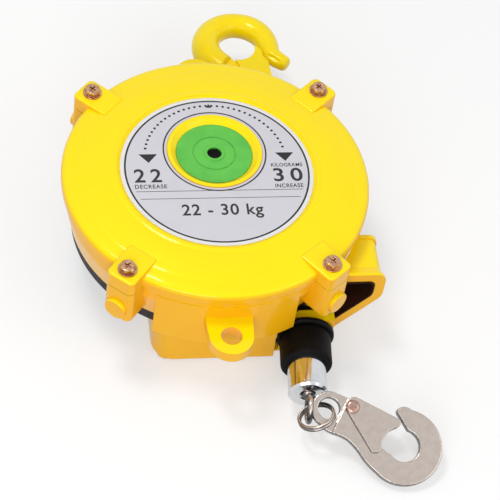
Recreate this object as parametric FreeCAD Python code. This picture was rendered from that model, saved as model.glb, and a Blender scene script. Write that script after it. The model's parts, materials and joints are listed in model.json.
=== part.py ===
"""Spring tool balancer, lying on its back.

+Z points out of the front cover, +Y towards the top hook and +X to the rope's side.
The origin is on the casing's axis, in the flat back that the balancer rests on.
All lengths are in millimetres and all angles in degrees.
"""
import FreeCAD, Part
import math
import os

Vec = FreeCAD.Vector
UP = Vec(0, 0, 1)

# ---------------------------------------------------------------- driving dimensions
# Casing and front cover
casing_radius = 97.0
casing_wall = 3.5
casing_taper = 4.0
casing_rear_radius = casing_radius - casing_taper
casing_rear_shift = 3.0
casing_rear_z = 44.0
casing_shoulder_z = 66.0
apron_rear_z = 35.0
apron_half_angle = 28.0
apron_proud = 0.4
rim_overhang = 3.0
rim_radius = casing_radius + rim_overhang
cover_seat_z = 79.0
cover_rim_z = 84.0
crown_z = 91.0
crown_slope_width = 33.0
crown_radius = rim_radius - crown_slope_width
cover_wall = 3.5
spigot_depth = 3.0
spigot_gap = 0.2
gasket_thickness = 0.6
boss_angles = (42.0, 138.0, -129.0, -51.0)
boss_width = 20.0
screw_offset = 5.0
screw_circle_radius = casing_radius + screw_offset
boss_end_length = 9.0
boss_outer_radius = screw_circle_radius + boss_end_length
boss_root_depth = 13.0
boss_inner_radius = casing_radius - boss_root_depth
boss_corner = 4.0
boss_top_z = 90.0
boss_bottom_z = 50.0
boss_pad_radius = 7.5
boss_pad_height = 2.5
boss_pad_z = 61.0

# Name plate, hub and green disc
drive_offset = 16.0
plate_border = 4.4
plate_radius = crown_radius - plate_border
plate_thickness = 0.4
plate_recess = 1.0
hub_ring_radius = 31.0
hub_mouth_radius = 28.5
disc_radius = 24.9
disc_thickness = 1.8
disc_top_z = 88.2
disc_hole_radius = 4.8

# Lugs, cast into the casing at the top and at the bottom
lug_reach = 14.5
lug_distance = casing_radius + lug_reach
lug_radius = 14.0
lug_root_half_width = 15.5
lug_hole_radius = 6.75
lug_thickness = 8.0
lug_top_z = 62.0

# Rear cover
rear_wall = 3.0
back_thickness = 5.0
rear_rim_step = 1.5
rear_rim_radius = casing_rear_radius - rear_rim_step
rear_cone_start_z = 34.0
rear_cone_width = 19.5
back_radius = rear_rim_radius - rear_cone_width
rear_boss_radius = 7.5
inner_screw_inset = 10.5
inner_screw_angles = (0.0, 180.0, -133.3)
outer_screw_reach = 2.5
outer_screw_angles = (104.2, 45.0)
rear_screw_seat_z = 38.0
screw_column_radius = 5.5
screw_column_top_z = 62.0
screw_web = 4.0

# Rope line
rope_radius = 2.4
rope_z = 20.0
rope_yaw = 5.0
winding_step_radius = 2.7
winding_pitch = 6.0
winding_count = 4

# Rope housing with its triangular mouth
housing_gap = 0.3
housing_wall = 4.5
housing_left_x = -43.0
housing_front_inset = 11.0
housing_front_y = housing_front_inset - casing_radius
housing_corner = 15.0
rope_window_half = 15.0
housing_rear_z = 0.5
mouth_inset = 25.0
mouth_y = mouth_inset - casing_radius
mouth_length = 34.0
mouth_end_y = mouth_y + mouth_length
mouth_top_z = 66.8
mouth_side_reach = 5.3
mouth_right_x = casing_radius + mouth_side_reach
mouth_side_low_z = 47.0
mouth_slope_width = 39.3
mouth_diagonal_x = mouth_right_x - mouth_slope_width
mouth_root_width = 18.0
mouth_root_x = mouth_diagonal_x - mouth_root_width
mouth_corner = 6.0
mouth_flare = 2.0
mouth_lip = 2.0
flare_length = 6.0
bead_width = 3.0
bead_height = 0.8
liner_thickness = 1.2
liner_depth = 18.0
housing_screw_insets = ((10.0, 8.5), (57.0, 6.0))
housing_screw_depth = 6.0
housing_screw_grip = 8.0

# Rope guide, bumper and swivel, measured along the rope line by their Y
guide_flange_radius = 19.0
guide_flange_thickness = 3.0
guide_body_radius = 11.0
guide_length = 15.0
guide_bore_radius = 4.0
guide_seat_inset = 15.3
guide_seat_y = guide_seat_inset - casing_radius
bumper_radius = 16.75
bumper_length = 22.3
bumper_gap = 0.3
sleeve_radius = 12.5
sleeve_wall = 2.5
sleeve_from_seat = 21.8
sleeve_start_y = guide_seat_y - sleeve_from_seat
sleeve_length = 23.0
end_ring_thickness = 2.9
ferrule_radius = 5.5
ferrule_length = 8.0
eye_stem_radius = 4.0
eye_head_radius = 8.0
eye_head_thickness = 3.4
washer_thickness = 1.4
eye_loop_from_sleeve = 36.3
eye_loop_y = sleeve_start_y - eye_loop_from_sleeve
eye_loop_radius = 8.2
eye_wire_radius = 1.75

# Split ring, placed from the middle of the swivel's loop
ring_offset = Vec(3.81, -6.91, 1.17)
ring_normal = Vec(-0.3243, 0.2849, 0.9021)
ring_radius = 11.2
ring_wire_radius = 1.05
ring_coil_shift = 1.0

# Snap hook, drawn in its own plane from the eye's centre, which is placed from the swivel's loop
snap_eye_offset = Vec(11.98, -2.10, 2.30)
snap_long_axis = Vec(0.8700, -0.4572, -0.1845)
snap_face_axis = Vec(-0.0250, -0.4146, 0.9097)
snap_thickness = 6.4
snap_eye_thickness = 5.2
snap_eye_radius = 11.2
snap_hole_radius = 6.9
bowl_centre = (53.5, -0.3)
bowl_radius = 24.4
bowl_inner_centre = (52.8, 0.3)
bowl_inner_radius = 10.2
nose_centre = (42.2, 19.6)
nose_radius = 3.0
gate_pivot = (13.0, 7.3)
gate_sheet = 1.4
gate_back_y = 14.0
gate_side_gap = 0.35
rivet_radius = 2.2
rivet_head_radius = 4.4
rivet_head_height = 1.6

# Top hook
hook_x = 34.3
hook_bowl_shift = 1.0
hook_bowl_x = hook_x + hook_bowl_shift
hook_z = 42.0
hook_boss_reach = 17.0
hook_boss_top_y = casing_radius + hook_boss_reach
hook_neck_height = 40.8
hook_bowl_y = hook_boss_top_y + hook_neck_height
hook_bowl_radius = 22.3
hook_section = 8.8
hook_stem_radius = 7.0
hook_boss_half_width = 17.0
hook_boss_depth = 32.0
hook_boss_wall = 9.0
nut_flats = 22.0
nut_height = 9.0
thrust_washer_thickness = 2.0
latch_pivot = (hook_x + 10.7, hook_boss_top_y + 8.0)
latch_pin_radius = 2.0
latch_half_width = 5.4
latch_sheet = 1.5
latch_sweep_radius = 24.8
latch_ear_half_width = 3.5
latch_tongue_half_width = 1.7
latch_spring_radius = 3.6
latch_spring_wire = 0.65

# Drive: shaft, drum, mainspring and ratchet
shaft_radius = 7.5
rear_journal_radius = 6.0
arbor_radius = 13.0
arbor_start_z = 44.0
arbor_end_z = 70.8
ratchet_z = 76.4
ratchet_thickness = 3.2
ratchet_teeth = 24
ratchet_radius = 24.0
ratchet_tooth_depth = 2.6
bearing_outer_radius = 16.0
bearing_width = 9.0
bearing_starts_z = (11.0, 30.0)
ball_radius = 2.4
ball_count = 8
running_clearance = 0.05
press_clearance = 0.02
drum_rear_z = 15.0
drum_front_z = 43.4
drum_hub_radius = 21.0
drum_web_thickness = 4.0
case_clearance = 1.3
case_radius = casing_rear_radius - casing_wall - (drive_offset - casing_rear_shift) - case_clearance
drum_flange_step = 0.3
drum_flange_radius = case_radius - drum_flange_step
flange_over_rope = 0.4
last_winding_radius = drum_flange_radius - flange_over_rope - rope_radius
rest_winding_radius = last_winding_radius - winding_step_radius * (winding_count - 1)
case_sheet = 1.6
case_top_z = 74.0
case_screw_inset = 7.7
case_screw_radius = case_radius - case_screw_inset
case_screw_count = 6
spring_turns = 6
spring_strip = 1.6
spring_room = 1.7
spring_outer_radius = case_radius - case_sheet - spring_room
pawl_pivot = (27.5, drive_offset + 16.0)
pawl_pin_radius = 3.0
pawl_spring_wire = 0.45

# Screws
m5_radius = 2.5
m5_clearance_radius = 2.75
hex_head_flats = 9.0
hex_head_height = 3.6
cross_reach = 2.4
cross_half_width = 0.55
cross_depth = 2.0
flange_washer_radius = 6.2
flange_washer_thickness = 1.0
screw_bury = 22.0


# ---------------------------------------------------------------- shape helpers
def cylinder(radius, low, high, x=0.0, y=0.0):
    return Part.makeCylinder(radius, high - low, Vec(x, y, low))


def rod(radius, start, end):
    return Part.makeCylinder(radius, (end - start).Length, start, end - start)


def tube(outer, inner, low, high, x=0.0, y=0.0):
    return cylinder(outer, low, high, x, y).cut(cylinder(inner, low - 1, high + 1, x, y))


def block(x0, x1, y0, y1, z0, z1):
    return Part.makeBox(x1 - x0, y1 - y0, z1 - z0, Vec(x0, y0, z0))


def outline(*pieces):
    """Closed face at z = 0 from points (x, y) and arcs (through, end) given in order."""
    edges = []
    start = here = Vec(*pieces[0], 0)
    for piece in pieces[1:]:
        if isinstance(piece[0], tuple):
            through, end = Vec(*piece[0], 0), Vec(*piece[1], 0)
            edges.append(Part.Arc(here, through, end).toShape())
        else:
            end = Vec(*piece, 0)
            edges.append(Part.makeLine(here, end))
        here = end
    if (here - start).Length > 1e-6:
        edges.append(Part.makeLine(here, start))
    return Part.Face(Part.Wire(edges))


def prism(face, low, high):
    """Extrude a face drawn at z = 0 from z = low to z = high."""
    moved = face.copy()
    moved.translate(Vec(0, 0, low))
    return moved.extrude(Vec(0, 0, high - low))


def turned(profile, x=0.0, y=0.0):
    """Revolve a closed profile of (radius, z) points and arcs about the vertical at x, y."""
    face = outline(*profile)
    face.rotate(Vec(0, 0, 0), Vec(1, 0, 0), 90)
    solid = face.revolve(Vec(0, 0, 0), UP, 360)
    solid.translate(Vec(x, y, 0))
    return solid


def torus(major, minor, centre, axis=UP):
    return Part.makeTorus(major, minor, centre, axis)


def drill(radius, x=0.0, y=0.0):
    """Tool that goes through everything in front of the mainspring's case."""
    return cylinder(radius, case_top_z - 4, crown_z + 4, x, y)


def fuse(shapes):
    shapes = list(shapes)
    return shapes[0].fuse(shapes[1:]).removeSplitter()


def polar(radius, angle):
    return radius * math.cos(math.radians(angle)), radius * math.sin(math.radians(angle))


def turn_to(shape, angle, x=0.0, y=0.0):
    """Turn a shape drawn along +X to the given angle about the vertical at x, y."""
    shape.rotate(Vec(x, y, 0), UP, angle)
    return shape


def hexagon(flats, low, high, x=0.0, y=0.0, turn=0.0):
    corner = flats / 2 / math.cos(math.radians(30))
    points = [polar(corner, turn + 60 * k) for k in range(6)]
    solid = prism(outline(*points), low, high)
    solid.translate(Vec(x, y, 0))
    return solid


def frame_at(origin, x_axis, z_axis):
    """Placement that carries a drawing's X to x_axis and its Z to z_axis, at origin."""
    turn = FreeCAD.Rotation(x_axis, Vec(0, 0, 0), z_axis, "ZXY")
    return FreeCAD.Placement(origin, turn)


def placed(shape, placement):
    moved = shape.copy()
    moved.Placement = placement.multiply(moved.Placement)
    return moved


# ---------------------------------------------------------------- derived places
def around_rear(radius, angle):
    """Point at a radius and angle about the centre of the casing's rear rim."""
    x, y = polar(radius, angle)
    return x, y + casing_rear_shift


inner_screw_radius = casing_rear_radius - inner_screw_inset
outer_screw_radius = casing_rear_radius + outer_screw_reach
inner_screw_places = [around_rear(inner_screw_radius, angle) for angle in inner_screw_angles]
outer_screw_places = [around_rear(outer_screw_radius, angle) for angle in outer_screw_angles]
rear_screw_places = inner_screw_places + outer_screw_places
housing_screw_places = [(housing_left_x + dx, housing_front_y + dy) for dx, dy in housing_screw_insets]
drive_centre = Vec(0, drive_offset, 0)
rope_direction = Vec(-math.sin(math.radians(rope_yaw)), -math.cos(math.radians(rope_yaw)), 0)
rope_start = Vec(
    rest_winding_radius * math.cos(math.radians(rope_yaw)),
    drive_offset - rest_winding_radius * math.sin(math.radians(rope_yaw)),
    rope_z,
)
windings = [
    (rest_winding_radius + winding_step_radius * k, rope_z + winding_pitch * k)
    for k in range(winding_count)
]


def on_rope(y):
    """Point of the rope line at the given Y."""
    return rope_start + rope_direction * ((y - rope_start.y) / rope_direction.y)


ring_centre = on_rope(eye_loop_y) + ring_offset
snap_eye_centre = on_rope(eye_loop_y) + snap_eye_offset


def rope_rod(radius, y, length):
    start = on_rope(y)
    return rod(radius, start, start + rope_direction * length)


def rope_turned(profile, y):
    """Revolve (radius, distance along the rope) points about the rope line from Y = y."""
    solid = turned(profile)
    placement = frame_at(on_rope(y), UP, rope_direction)
    return placed(solid, placement)


# ---------------------------------------------------------------- front cover
def boss_outline(outer, width=boss_width, inner=boss_inner_radius, corner=boss_corner):
    half = width / 2
    bulge = corner * (1 - math.sqrt(0.5))
    return outline(
        (inner, -half),
        (outer - corner, -half),
        ((outer - bulge, -half + bulge), (outer, -half + corner)),
        (outer, half - corner),
        ((outer - bulge, half - bulge), (outer - corner, half)),
        (inner, half),
    )


def top_edges(shape, height):
    return [e for e in shape.Edges if all(abs(v.Z - height) < 1e-6 for v in e.Vertexes)]


def make_front_cover():
    spigot = casing_radius - casing_wall - spigot_gap
    recess_z = crown_z - plate_recess
    shell = turned([
        (0, recess_z),
        (plate_radius + 0.4, recess_z),
        (plate_radius + 1.4, crown_z),
        (crown_radius, crown_z),
        ((rim_radius - 14.0, crown_z - 2.4), (rim_radius - 0.8, cover_rim_z + 0.2)),
        ((rim_radius - 0.2, cover_rim_z - 0.3), (rim_radius, cover_rim_z - 1.0)),
        (rim_radius, cover_seat_z),
        (spigot, cover_seat_z),
        (spigot, cover_seat_z - spigot_depth),
        (spigot - 3, cover_seat_z - spigot_depth),
        (spigot - 3, cover_seat_z + 1.5),
        (crown_radius - 3, crown_z - cover_wall - 0.6),
        (0, recess_z - cover_wall),
    ])
    additions = [shell]
    for angle in boss_angles:
        arm = prism(boss_outline(boss_outer_radius), cover_seat_z, boss_top_z)
        arm = arm.makeFillet(1.5, top_edges(arm, boss_top_z))
        additions.append(turn_to(arm, angle))
    y = drive_offset
    ratchet_top_z = ratchet_z + ratchet_thickness
    additions.append(cylinder(hub_ring_radius, disc_top_z - disc_thickness - 2.6, crown_z, 0, y))
    additions.append(cylinder(shaft_radius + 9, ratchet_top_z + 0.6, recess_z - 1, 0, y))
    pin_x, pin_y = pawl_pivot
    additions.append(cylinder(pawl_pin_radius + 4, ratchet_top_z + 2.4, recess_z - 2, pin_x, pin_y))
    cover = fuse(additions)
    disc_seat_z = disc_top_z - disc_thickness
    cover = cover.cut(turned([
        (0, disc_seat_z),
        (disc_radius + 0.15, disc_seat_z),
        (disc_radius + 0.15, disc_top_z - 0.4),
        (hub_mouth_radius, crown_z + 0.01),
        (hub_mouth_radius, crown_z + 2),
        (0, crown_z + 2),
    ], 0, y))
    cover = cover.cut(drill(shaft_radius + running_clearance, 0, y))
    cover = cover.cut(cylinder(pawl_pin_radius + press_clearance, ratchet_z, recess_z - 5, pin_x, pin_y))
    for angle in boss_angles:
        cover = cover.cut(drill(m5_clearance_radius, *polar(screw_circle_radius, angle)))
    return cover


def make_name_plate():
    top = crown_z - plate_recess + plate_thickness
    plate = cylinder(plate_radius, top - plate_thickness, top)
    return plate.cut(drill(hub_ring_radius + 0.25, 0, drive_offset))


def make_hub_disc():
    y = drive_offset
    low = disc_top_z - disc_thickness
    disc = cylinder(disc_radius, low, disc_top_z, 0, y)
    collar = tube(disc_hole_radius + 2.0, disc_hole_radius, low, disc_top_z + 0.5, 0, y)
    groove = tube(14.2, 13.4, disc_top_z - 0.4, disc_top_z + 1, 0, y)
    return disc.fuse(collar).cut(groove).cut(drill(disc_hole_radius, 0, y))


# ---------------------------------------------------------------- main casing
def tapered_body(shrink, top):
    """Round body of the casing, drawn in by shrink: straight in front, tapered and shifted at the rear."""
    front = cylinder(casing_radius - shrink, casing_shoulder_z, top)
    rings = [
        Part.Wire(Part.makeCircle(casing_radius - shrink, Vec(0, 0, casing_shoulder_z))),
        Part.Wire(Part.makeCircle(casing_rear_radius - shrink, Vec(0, casing_rear_shift, casing_rear_z))),
    ]
    return front.fuse(Part.makeLoft(rings, True, True))


def wedge(radius, middle_angle, half_angle, low, high):
    points = [(0, 0), polar(radius, -half_angle), (radius * 1.2, 0), polar(radius, half_angle)]
    return turn_to(prism(outline(*points), low, high), middle_angle)


def lug(side):
    """Lug with a round end, at the bottom for side = -1 and at the top for side = 1."""
    root_y = casing_radius - 3
    lean = math.atan2(lug_root_half_width - lug_radius, lug_distance - root_y)
    touch_x = lug_radius * math.cos(lean)
    touch_y = lug_distance + lug_radius * math.sin(lean)
    face = outline(
        (-lug_root_half_width, side * root_y),
        (-touch_x, side * touch_y),
        ((0, side * (lug_distance + lug_radius)), (touch_x, side * touch_y)),
        (lug_root_half_width, side * root_y),
    )
    solid = prism(face, lug_top_z - lug_thickness, lug_top_z)
    hole = cylinder(lug_hole_radius, lug_top_z - lug_thickness - 1, lug_top_z + 1, 0, side * lug_distance)
    return solid, hole


def screw_column(x, y, low, limit):
    """Tapped column with a web that joins it to the casing's wall."""
    column = cylinder(screw_column_radius, low, screw_column_top_z, x, y)
    web = block(math.hypot(x, y), casing_radius + 5, -screw_web / 2, screw_web / 2, low, screw_column_top_z)
    web = turn_to(web, math.degrees(math.atan2(y, x)))
    return column.fuse(web.common(limit))


def make_main_casing():
    top = cover_seat_z - gasket_thickness
    apron_radius = casing_radius + apron_proud
    apron = cylinder(apron_radius, apron_rear_z, casing_shoulder_z + 6).common(
        wedge(casing_radius * 1.3, -90, apron_half_angle, apron_rear_z, casing_shoulder_z + 6))
    solids = [tapered_body(0, top), apron]
    holes = []
    for angle in boss_angles:
        foot = prism(boss_outline(boss_outer_radius), boss_bottom_z, top)
        foot = foot.makeFillet(3.0, top_edges(foot, boss_bottom_z))
        pad = rod(boss_pad_radius, Vec(boss_outer_radius - 2, 0, boss_pad_z),
                  Vec(boss_outer_radius + boss_pad_height, 0, boss_pad_z))
        rim = [e for e in pad.Edges if all(abs(v.X - boss_outer_radius - boss_pad_height) < 1e-6
                                           for v in e.Vertexes)]
        pad = pad.makeFillet(0.8, rim)
        solids.append(turn_to(foot.fuse(pad), angle))
        x, y = polar(screw_circle_radius, angle)
        holes.append(cylinder(m5_radius + 0.03, boss_top_z - screw_bury - 2, top + 1, x, y))
    for side in (-1, 1):
        solid, hole = lug(side)
        solids.append(solid)
        holes.append(hole)
    low, high = hook_z - hook_boss_depth / 2, hook_z + hook_boss_depth / 2
    hook_boss = block(hook_x - hook_boss_half_width, hook_x + hook_boss_half_width,
                      casing_radius - 14, hook_boss_top_y, low, high)
    long_edges = [e for e in hook_boss.Edges
                  if all(abs(v.Y - hook_boss_top_y) < 1e-6 for v in e.Vertexes)]
    solids.append(hook_boss.makeFillet(3.0, long_edges))
    limit = tapered_body(casing_wall / 2, top)
    limit = limit.fuse(cylinder(casing_radius - 1, apron_rear_z, casing_rear_z))
    inner_parts = [screw_column(x, y, casing_rear_z, limit) for x, y in inner_screw_places]
    inner_parts += [screw_column(x, y, apron_rear_z, limit) for x, y in housing_screw_places]
    inner_parts += [cylinder(screw_column_radius, casing_rear_z, screw_column_top_z, x, y)
                    for x, y in outer_screw_places]
    for x, y in rear_screw_places:
        holes.append(cylinder(m5_radius + 0.03, casing_rear_z - 1, casing_rear_z + 14, x, y))
    for x, y in housing_screw_places:
        holes.append(cylinder(m5_radius + 0.03, apron_rear_z - 1, casing_rear_z + 10, x, y))
    room = tapered_body(casing_wall, top + 1)
    rear_room_radius = casing_rear_radius - casing_wall
    room = room.fuse(cylinder(rear_room_radius, 20, casing_rear_z + 0.01, 0, casing_rear_shift))
    casing = fuse([fuse(solids).cut(room)] + inner_parts)
    seat_y = hook_boss_top_y - hook_boss_wall
    nut_low_y = seat_y - thrust_washer_thickness - nut_height - 1.5
    pocket = block(hook_x - 13.5, hook_x + 13.5, nut_low_y, seat_y, 20, hook_z + 13.2)
    bore_end = Vec(hook_x, hook_boss_top_y + 1, hook_z)
    bore = rod(hook_stem_radius + 0.1, Vec(hook_x, nut_low_y, hook_z), bore_end)
    return casing.cut([pocket, bore, rear_body(-housing_gap)] + holes)


def make_cover_gasket():
    low = cover_seat_z - gasket_thickness
    ring = tube(casing_radius, casing_radius - casing_wall, low, cover_seat_z)
    solids = [ring]
    tab = boss_outline(boss_outer_radius - 0.4, boss_width - 0.8, casing_radius - screw_offset)
    for angle in boss_angles:
        solids.append(turn_to(prism(tab, low, cover_seat_z), angle))
    gasket = fuse(solids)
    gasket = gasket.cut(drill(casing_radius - casing_wall))
    for angle in boss_angles:
        gasket = gasket.cut(drill(m5_clearance_radius, *polar(screw_circle_radius, angle)))
    return gasket


def make_cover_screws():
    washer_top = boss_top_z + flange_washer_thickness
    screws = []
    for angle in boss_angles:
        x, y = polar(screw_circle_radius, angle)
        head_top = washer_top + hex_head_height
        head = hexagon(hex_head_flats, washer_top, head_top, x, y, angle + 15)
        corner = hex_head_flats * 0.67
        crown = turned([(0, washer_top - 1), (corner, washer_top - 1), (corner, head_top - 1.2),
                        (corner - 1.8, head_top), (0, head_top)], x, y)
        head = head.common(crown)
        shank = cylinder(m5_radius, boss_top_z - screw_bury, washer_top + 0.5, x, y)
        slot = block(x - cross_reach, x + cross_reach, y - cross_half_width, y + cross_half_width,
                     head_top - cross_depth, head_top + 1)
        cross = fuse(turn_to(slot.copy(), turn, x, y) for turn in (angle, angle + 90))
        screws.append(head.fuse(shank).removeSplitter().cut(cross))
    return Part.makeCompound(screws)


def make_cover_washers():
    washers = []
    for angle in boss_angles:
        x, y = polar(screw_circle_radius, angle)
        washers.append(tube(flange_washer_radius, m5_radius + 0.1, boss_top_z,
                            boss_top_z + flange_washer_thickness, x, y))
    return Part.makeCompound(washers)


# ---------------------------------------------------------------- rear cover
def rear_cone(shrink, low=back_thickness, high=rear_cone_start_z):
    rings = [
        Part.Wire(Part.makeCircle(rear_rim_radius - shrink, Vec(0, casing_rear_shift, high))),
        Part.Wire(Part.makeCircle(back_radius - shrink, Vec(0, drive_offset, low))),
    ]
    return Part.makeLoft(rings, True, True)


def rear_body(shrink):
    """Outer form of the rear cover, drawn in by shrink, without its back plate."""
    rim = cylinder(rear_rim_radius - shrink, rear_cone_start_z, casing_rear_z, 0, casing_rear_shift)
    return rim.fuse(rear_cone(shrink))


def rope_window():
    """Opening in the rear cover where the rope leaves it."""
    return block(rope_start.x - rope_window_half, rope_start.x + rope_window_half,
                 guide_seat_y, mouth_end_y + 18, drum_rear_z - 2, casing_rear_z + 5)


def make_rear_cover():
    plate = cylinder(back_radius, 0, back_thickness, 0, drive_offset)
    plate = plate.makeFillet(2.0, [e for e in plate.Edges if all(abs(v.Z) < 1e-6 for v in e.Vertexes)])
    hub = cylinder(rear_journal_radius + 7, back_thickness - 1, bearing_starts_z[0] - 1.5, 0, drive_offset)
    ears = [cylinder(rear_boss_radius, rear_cone_start_z - 1, casing_rear_z, x, y)
            for x, y in outer_screw_places]
    inside = rear_body(rear_wall / 2)
    posts = [cylinder(rear_boss_radius, back_thickness + 15, casing_rear_z, x, y)
             for x, y in inner_screw_places]
    posts = [post.common(inside) for post in posts]
    shell = rear_body(0).cut(rear_body(rear_wall))
    cover = fuse([shell, plate, hub] + ears + posts)
    tools = [rope_window()]
    tools.append(cylinder(rear_journal_radius + running_clearance, 1.2, 20, 0, drive_offset))
    for x, y in rear_screw_places:
        tools.append(cylinder(m5_clearance_radius, 0, casing_rear_z + 1, x, y))
        tools.append(cylinder(5.0, -1, rear_screw_seat_z, x, y))
    for x, y in housing_screw_places:
        tools.append(cylinder(6.0, back_thickness + 1, casing_rear_z + 1, x, y))
        length = math.hypot(x, y)
        half = screw_web / 2 + 0.5
        tools.append(turn_to(block(length, casing_radius, -half, half, apron_rear_z - 0.5, casing_rear_z + 1),
                             math.degrees(math.atan2(y, x))))
    return cover.cut(tools)


def make_rear_screws():
    screws = []
    places = [(x, y, rear_screw_seat_z, 15) for x, y in rear_screw_places]
    seat_z = housing_rear_z + housing_screw_depth
    places += [(x, y, seat_z, apron_rear_z + housing_screw_grip - seat_z) for x, y in housing_screw_places]
    for x, y, seat, length in places:
        head = cylinder(4.25, seat - 5, seat, x, y)
        socket = hexagon(4.0, seat - 6, seat - 2.4, x, y)
        shank = cylinder(m5_radius, seat - 0.01, seat + length, x, y)
        screws.append(head.cut(socket).fuse(shank).removeSplitter())
    return Part.makeCompound(screws)


# ---------------------------------------------------------------- rope housing
def mouth_profile(inset):
    """Triangular section of the mouth in X and Z, drawn in by inset, with rounded right corners."""
    slope = math.atan2(mouth_side_low_z - housing_rear_z, mouth_right_x - mouth_diagonal_x)
    top, right = mouth_top_z - inset, mouth_right_x - inset
    # The sloping wall is moved towards the inside, square to itself.
    shift_x, shift_z = -inset * math.sin(slope), inset * math.cos(slope)
    low_x = mouth_diagonal_x + shift_x
    low_z = housing_rear_z + shift_z
    side_z = low_z + (right - low_x) * math.tan(slope)
    corner = max(mouth_corner - inset * 0.4, 1.0)
    bulge = corner * (1 - math.sqrt(0.5))
    run = corner * 0.8
    floor_z = housing_rear_z + inset
    floor_x = low_x + (floor_z - low_z) / math.tan(slope)
    after = (right - run * math.cos(slope), side_z - run * math.sin(slope))
    middle = ((right * 2 + after[0]) / 3, (side_z * 2 + after[1]) / 3)
    return outline(
        (mouth_root_x, top),
        (right - corner, top),
        ((right - bulge, top - bulge), (right, top - corner)),
        (right, side_z + run),
        ((middle[0] - 0.1, middle[1] + 0.4), after),
        (floor_x, floor_z),
        (mouth_root_x, floor_z),
    )


def along_y(face, y0, y1):
    """Extrude a face drawn in (X, Z) from Y = y0 to Y = y1."""
    solid = face.copy()
    solid.rotate(Vec(0, 0, 0), Vec(1, 0, 0), 90)
    solid.translate(Vec(0, y0, 0))
    return solid.extrude(Vec(0, y1 - y0, 0))


def housing_box(inset):
    left, front = housing_left_x + inset, housing_front_y + inset
    corner = housing_corner - inset
    bulge = corner * (1 - math.sqrt(0.5))
    step_x = on_rope(guide_seat_y).x - guide_flange_radius - 0.4 + inset
    right = on_rope(guide_seat_y).x + guide_flange_radius - 0.8 - inset
    back = mouth_end_y - 7.0
    face = outline(
        (left, back),
        (left, front + corner),
        ((left + bulge, front + bulge), (left + corner, front)),
        (step_x, front),
        (step_x, guide_seat_y + inset),
        (right, guide_seat_y + inset),
        (right, back),
    )
    return prism(face, housing_rear_z + inset, apron_rear_z - housing_gap - inset * 0.7)


def make_rope_housing():
    box = housing_box(0)
    floor_limit = mouth_end_y - 8.0
    rear_edges = [e for e in box.Edges
                  if all(abs(v.Z - housing_rear_z) < 1e-6 and v.Y < floor_limit for v in e.Vertexes)]
    box = box.makeFillet(3.0, rear_edges)
    side_end_y = mouth_end_y - 2
    slope_side = along_y(mouth_profile(0), guide_seat_y - 3, side_end_y)
    flat_side = block(housing_left_x - 1, mouth_diagonal_x - 10,
                      housing_front_y - 1, side_end_y, 0, apron_rear_z)
    box = box.common(slope_side.fuse(flat_side))
    flare_end_y = mouth_y + mouth_lip + flare_length
    guide_box = along_y(mouth_profile(0), flare_end_y, mouth_end_y)
    flare_wires = [mouth_wire(0, flare_end_y), mouth_wire(-mouth_flare, mouth_y + mouth_lip)]
    flare = Part.makeLoft(flare_wires, True, True)
    lip = along_y(mouth_profile(-mouth_flare), mouth_y, mouth_y + mouth_lip)
    rim_bead = along_y(mouth_profile(-bead_height), mouth_end_y - bead_width, mouth_end_y)
    left_x, right_x = housing_left_x - 5, mouth_right_x + 5
    front_y, back_y = housing_front_y - 5, mouth_end_y + 5
    below = block(left_x, right_x, front_y, back_y, housing_rear_z - 10, housing_rear_z)
    above = block(left_x, mouth_root_x + 1, front_y, back_y, apron_rear_z - housing_gap, crown_z)
    outer = box.fuse([guide_box, flare, lip, rim_bead]).cut([below, above])
    cavity = along_y(mouth_profile(housing_wall), mouth_y - 1, mouth_end_y - 4)
    outer = outer.cut(cavity).cut(housing_box(housing_wall - 1))
    for x, y in housing_screw_places:
        outer = outer.fuse(cylinder(6.5, housing_rear_z, apron_rear_z - housing_gap, x, y))
    outer = outer.removeSplitter()
    tools = [
        cylinder(casing_radius + apron_proud + housing_gap, apron_rear_z - housing_gap, crown_z),
        rear_body(-housing_gap),
        cylinder(back_radius + housing_gap, -1, back_thickness + 0.1, 0, drive_offset),
        rope_rod(guide_body_radius + 0.05, guide_seat_y + 30, 40),
        rope_rod(guide_flange_radius + housing_gap, guide_seat_y, 10),
    ]
    for angle in boss_angles[2:]:
        around = boss_outline(boss_outer_radius + boss_pad_height + housing_gap, boss_width + 2 * housing_gap)
        tools.append(turn_to(prism(around, boss_bottom_z - housing_gap, crown_z), angle))
    for x, y in housing_screw_places:
        tools.append(cylinder(m5_clearance_radius, 0, 40, x, y))
        tools.append(cylinder(4.8, -1, housing_rear_z + housing_screw_depth, x, y))
    ear_radius = rear_boss_radius + housing_gap
    for x, y in rear_screw_places:
        tools.append(cylinder(ear_radius, rear_cone_start_z - 0.5, casing_rear_z + 0.5, x, y))
    return outer.cut(tools)


def mouth_wire(inset, y):
    wire = mouth_profile(inset).OuterWire.copy()
    wire.rotate(Vec(0, 0, 0), Vec(1, 0, 0), 90)
    wire.translate(Vec(0, y, 0))
    return wire


def make_mouth_liner():
    gap = 2 * housing_gap
    outer = along_y(mouth_profile(housing_wall + running_clearance), mouth_y - 0.6, mouth_y + liner_depth)
    inner = along_y(mouth_profile(housing_wall + liner_thickness), mouth_y - 2, mouth_y + liner_depth + 1)
    liner = outer.cut(inner)
    keep = block(mouth_diagonal_x + 7, mouth_right_x + 28, -casing_radius - 3, mouth_end_y + 18, 12, crown_z)
    around = boss_outline(boss_outer_radius + boss_pad_height + gap, boss_width + 2 * gap)
    tools = [
        cylinder(casing_radius + apron_proud + gap, apron_rear_z - 1, crown_z),
        rear_body(-gap),
        turn_to(prism(around, boss_bottom_z - gap, crown_z), boss_angles[3]),
    ]
    return biggest(liner.common(keep).cut(tools))


def biggest(shape):
    return max(shape.Solids, key=lambda solid: solid.Volume)


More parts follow.
